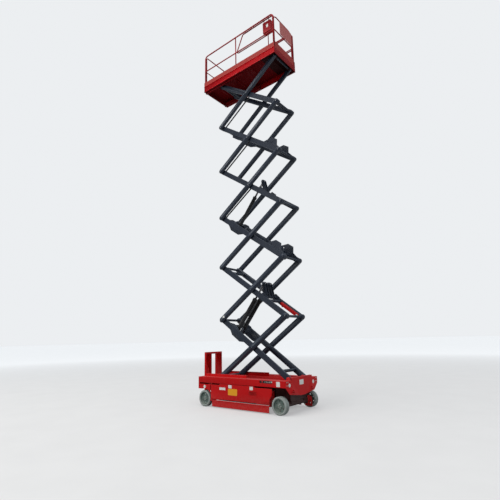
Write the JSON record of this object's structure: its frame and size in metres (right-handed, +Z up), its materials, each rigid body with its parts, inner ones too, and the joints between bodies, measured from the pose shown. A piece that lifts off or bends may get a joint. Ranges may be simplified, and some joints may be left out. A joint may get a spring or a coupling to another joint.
{
  "type": "self-propelled scissor lift",
  "caption": "Electric scissor lift on solid tyres, raised, with a railed platform and a roll-out deck.",
  "frame": {"origin": "on the ground under the middle of the machine", "axes": "+Z up, +X towards the steered end, +Y across the machine"},
  "size_m": [2.82, 1.37, 10.3278],
  "materials": {
    "red_paint": "gloss enamel, slightly chalked",
    "arm_paint": "satin blue-grey enamel",
    "dark_paint": "satin dark enamel",
    "rim_paint": "satin grey enamel",
    "tyre": "pale grey solid non-marking rubber",
    "plated_rod": "polished hard chrome",
    "roller_nylon": "matt",
    "battery_case": "matt",
    "control_case": "fine grained",
    "board_paint": "satin"
  },
  "bodies": {
    "chassis": {"chassis_frame": "red_paint", "roller_tracks": "dark_paint", "rear_axle": "dark_paint", "steer_axle": "red_paint", "ladder": "red_paint", "ground_controls": "control_case"},
    "steer_knuckle_near": {"steer_knuckle_near": "red_paint"},
    "steer_knuckle_far": {"steer_knuckle_far": "red_paint"},
    "tie_rod": {"tie_rod": "dark_paint"},
    "tray_near": {"tray_near": "red_paint", "power_unit": "dark_paint"},
    "tray_far": {"tray_far": "red_paint", "battery_pack": "battery_case"},
    "pothole_guard_near": {"pothole_guard_near": "red_paint"},
    "pothole_guard_far": {"pothole_guard_far": "red_paint"},
    "lower_barrels": {"lower_barrels": "dark_paint"},
    "lower_rods": {"lower_rods": "plated_rod"},
    "upper_barrel": {"upper_barrel": "dark_paint"},
    "upper_rod": {"upper_rod": "plated_rod"},
    "maintenance_bar": {"maintenance_bar": "red_paint"},
    "platform": {"platform_frame": "red_paint", "guard_rail_near": "red_paint", "guard_rail_far": "red_paint"},
    "gate": {"gate": "red_paint"},
    "extension": {"extension_deck": "red_paint", "extension_rails": "red_paint", "front_board": "board_paint", "control_box": "red_paint"},
    "wheel_front_near": {"tyre_front_near": "tyre", "rim_front_near": "rim_paint"},
    "wheel_front_far": {"tyre_front_far": "tyre", "rim_front_far": "rim_paint"},
    "wheel_rear_near": {"tyre_rear_near": "tyre", "rim_rear_near": "rim_paint"},
    "wheel_rear_far": {"tyre_rear_far": "tyre", "rim_rear_far": "rim_paint"},
    "inner_arm_1": {"inner_arm_1": "arm_paint"},
    "outer_arm_1": {"outer_arm_1": "arm_paint", "base_rollers": "roller_nylon"},
    "inner_arm_2": {"inner_arm_2": "arm_paint"},
    "outer_arm_2": {"outer_arm_2": "arm_paint"},
    "inner_arm_3": {"inner_arm_3": "arm_paint"},
    "outer_arm_3": {"outer_arm_3": "arm_paint"},
    "inner_arm_4": {"inner_arm_4": "arm_paint"},
    "outer_arm_4": {"outer_arm_4": "arm_paint"},
    "inner_arm_5": {"inner_arm_5": "arm_paint"},
    "outer_arm_5": {"outer_arm_5": "arm_paint"},
    "inner_arm_6": {"inner_arm_6": "arm_paint", "top_rollers": "roller_nylon"},
    "outer_arm_6": {"outer_arm_6": "arm_paint"}
  },
  "joints": [
    {"name": "lift", "type": "hinge", "parent": "chassis", "child": "inner_arm_1", "pos_m": [1.23, 0, 0.704], "axis": [0, 1, 0], "range_deg": [-31.6, 24.8]},
    {"name": "outer_arm_2_pivot", "type": "hinge", "parent": "inner_arm_1", "child": "outer_arm_2", "pos_m": [-0.74749, 0, 2.09897], "axis": [0, 1, 0], "range_deg": [-50.1, 63.7]},
    {"name": "inner_arm_3_pivot", "type": "hinge", "parent": "outer_arm_2", "child": "inner_arm_3", "pos_m": [1.23, 0, 3.49393], "axis": [0, 1, 0], "range_deg": [-63.7, 50.1]},
    {"name": "outer_arm_4_pivot", "type": "hinge", "parent": "inner_arm_3", "child": "outer_arm_4", "pos_m": [-0.74749, 0, 4.8889], "axis": [0, 1, 0], "range_deg": [-50.1, 63.7]},
    {"name": "inner_arm_5_pivot", "type": "hinge", "parent": "outer_arm_4", "child": "inner_arm_5", "pos_m": [1.23, 0, 6.28386], "axis": [0, 1, 0], "range_deg": [-63.7, 50.1]},
    {"name": "outer_arm_6_pivot", "type": "hinge", "parent": "inner_arm_5", "child": "outer_arm_6", "pos_m": [-0.74749, 0, 7.67883], "axis": [0, 1, 0], "range_deg": [-50.1, 63.7]},
    {"name": "outer_arm_1_pivot", "type": "hinge", "parent": "inner_arm_1", "child": "outer_arm_1", "pos_m": [0.24125, 0, 1.40148], "axis": [0, 1, 0], "range_deg": [-50.1, 63.7]},
    {"name": "inner_arm_2_pivot", "type": "hinge", "parent": "outer_arm_2", "child": "inner_arm_2", "pos_m": [0.24125, 0, 2.79645], "axis": [0, 1, 0], "range_deg": [-63.7, 50.1]},
    {"name": "outer_arm_3_pivot", "type": "hinge", "parent": "inner_arm_3", "child": "outer_arm_3", "pos_m": [0.24125, 0, 4.19142], "axis": [0, 1, 0], "range_deg": [-50.1, 63.7]},
    {"name": "inner_arm_4_pivot", "type": "hinge", "parent": "outer_arm_4", "child": "inner_arm_4", "pos_m": [0.24125, 0, 5.58638], "axis": [0, 1, 0], "range_deg": [-63.7, 50.1]},
    {"name": "outer_arm_5_pivot", "type": "hinge", "parent": "inner_arm_5", "child": "outer_arm_5", "pos_m": [0.24125, 0, 6.98135], "axis": [0, 1, 0], "range_deg": [-50.1, 63.7]},
    {"name": "inner_arm_6_pivot", "type": "hinge", "parent": "outer_arm_6", "child": "inner_arm_6", "pos_m": [0.24125, 0, 8.37631], "axis": [0, 1, 0], "range_deg": [-63.7, 50.1]},
    {"name": "platform_pivot", "type": "hinge", "parent": "outer_arm_6", "child": "platform", "pos_m": [1.23, 0, 9.0738], "axis": [0, 1, 0], "range_deg": [-32.1, 25.3]},
    {"name": "lower_cylinder_foot", "type": "hinge", "parent": "inner_arm_1", "child": "lower_barrels", "pos_m": [-0.4125, 0, 1.86266], "axis": [0, 1, 0], "range_deg": [-43.16, 54.85]},
    {"name": "lower_cylinder_stroke", "type": "slide", "parent": "lower_barrels", "child": "lower_rods", "axis": [0.6239, 0, 0.7815], "range_m": [-0.37152, 0.292]},
    {"name": "upper_cylinder_foot", "type": "hinge", "parent": "inner_arm_3", "child": "upper_barrel", "pos_m": [-0.4125, 0, 4.65259], "axis": [0, 1, 0], "range_deg": [-43.16, 54.85]},
    {"name": "upper_cylinder_stroke", "type": "slide", "parent": "upper_barrel", "child": "upper_rod", "axis": [0.6239, 0, 0.7815], "range_m": [-0.37152, 0.292]},
    {"name": "maintenance_bar_swing", "type": "hinge", "parent": "inner_arm_2", "child": "maintenance_bar", "pos_m": [1.15478, 0.256, 2.13979], "axis": [0, 1, 0], "range_deg": [0, 100]},
    {"name": "steer", "type": "hinge", "parent": "chassis", "child": "steer_knuckle_near", "pos_m": [1.18, -0.545, 0.1905], "axis": [0, 0, 1], "range_deg": [-40, 40]},
    {"name": "steer_far", "type": "hinge", "parent": "chassis", "child": "steer_knuckle_far", "pos_m": [1.18, 0.545, 0.1905], "axis": [0, 0, 1], "range_deg": [-40.5, 40.5]},
    {"name": "tie_rod_pivot", "type": "hinge", "parent": "steer_knuckle_near", "child": "tie_rod", "pos_m": [1.03, -0.52, 0.1265], "axis": [0, 0, 1], "range_deg": [-40.5, 40.5]},
    {"name": "wheel_front_near_roll", "type": "hinge", "parent": "steer_knuckle_near", "child": "wheel_front_near", "pos_m": [1.18, -0.6215, 0.1905], "axis": [0, 1, 0], "continuous": true},
    {"name": "wheel_rear_near_roll", "type": "hinge", "parent": "chassis", "child": "wheel_rear_near", "pos_m": [-1.07, -0.6215, 0.1905], "axis": [0, 1, 0], "continuous": true},
    {"name": "tray_near_swing", "type": "hinge", "parent": "chassis", "child": "tray_near", "pos_m": [-0.853, -0.662, 0.36], "axis": [0, 0, -1], "range_deg": [0, 90]},
    {"name": "pothole_guard_near_fold", "type": "hinge", "parent": "chassis", "child": "pothole_guard_near", "pos_m": [0.04, -0.66, 0.162], "axis": [-1, 0, 0], "range_deg": [-90, 0]},
    {"name": "wheel_front_far_roll", "type": "hinge", "parent": "steer_knuckle_far", "child": "wheel_front_far", "pos_m": [1.18, 0.6215, 0.1905], "axis": [0, 1, 0], "continuous": true},
    {"name": "wheel_rear_far_roll", "type": "hinge", "parent": "chassis", "child": "wheel_rear_far", "pos_m": [-1.07, 0.6215, 0.1905], "axis": [0, 1, 0], "continuous": true},
    {"name": "tray_far_swing", "type": "hinge", "parent": "chassis", "child": "tray_far", "pos_m": [-0.853, 0.662, 0.36], "axis": [0, 0, 1], "range_deg": [0, 90]},
    {"name": "pothole_guard_far_fold", "type": "hinge", "parent": "chassis", "child": "pothole_guard_far", "pos_m": [0.04, 0.66, 0.162], "axis": [1, 0, 0], "range_deg": [-90, 0]},
    {"name": "gate_swing", "type": "hinge", "parent": "platform", "child": "gate", "pos_m": [-1.288, 0.451, 9.7238], "axis": [0, 0, 1], "range_deg": [0, 90]},
    {"name": "extension_roll_out", "type": "slide", "parent": "platform", "child": "extension", "axis": [1, 0, 0], "range_m": [0, 0.9]}
  ],
  "couplings": [
    {"joint": "outer_arm_2_pivot", "follows": "lift", "ratio": -2},
    {"joint": "inner_arm_3_pivot", "follows": "lift", "ratio": 2},
    {"joint": "outer_arm_4_pivot", "follows": "lift", "ratio": -2},
    {"joint": "inner_arm_5_pivot", "follows": "lift", "ratio": 2},
    {"joint": "outer_arm_6_pivot", "follows": "lift", "ratio": -2},
    {"joint": "outer_arm_1_pivot", "follows": "lift", "ratio": -2},
    {"joint": "inner_arm_2_pivot", "follows": "lift", "ratio": 2},
    {"joint": "outer_arm_3_pivot", "follows": "lift", "ratio": -2},
    {"joint": "inner_arm_4_pivot", "follows": "lift", "ratio": 2},
    {"joint": "outer_arm_5_pivot", "follows": "lift", "ratio": -2},
    {"joint": "inner_arm_6_pivot", "follows": "lift", "ratio": 2},
    {"joint": "platform_pivot", "follows": "lift", "ratio": 1},
    {"joint": "lower_cylinder_foot", "follows": "lift", "ratio": -1.72},
    {"joint": "lower_cylinder_stroke", "follows": "lift", "m_per_rad": 0.67},
    {"joint": "upper_cylinder_foot", "follows": "lift", "ratio": -1.72},
    {"joint": "upper_cylinder_stroke", "follows": "lift", "m_per_rad": 0.67},
    {"joint": "steer_far", "follows": "steer", "ratio": 1},
    {"joint": "tie_rod_pivot", "follows": "steer", "ratio": -1}
  ]
}
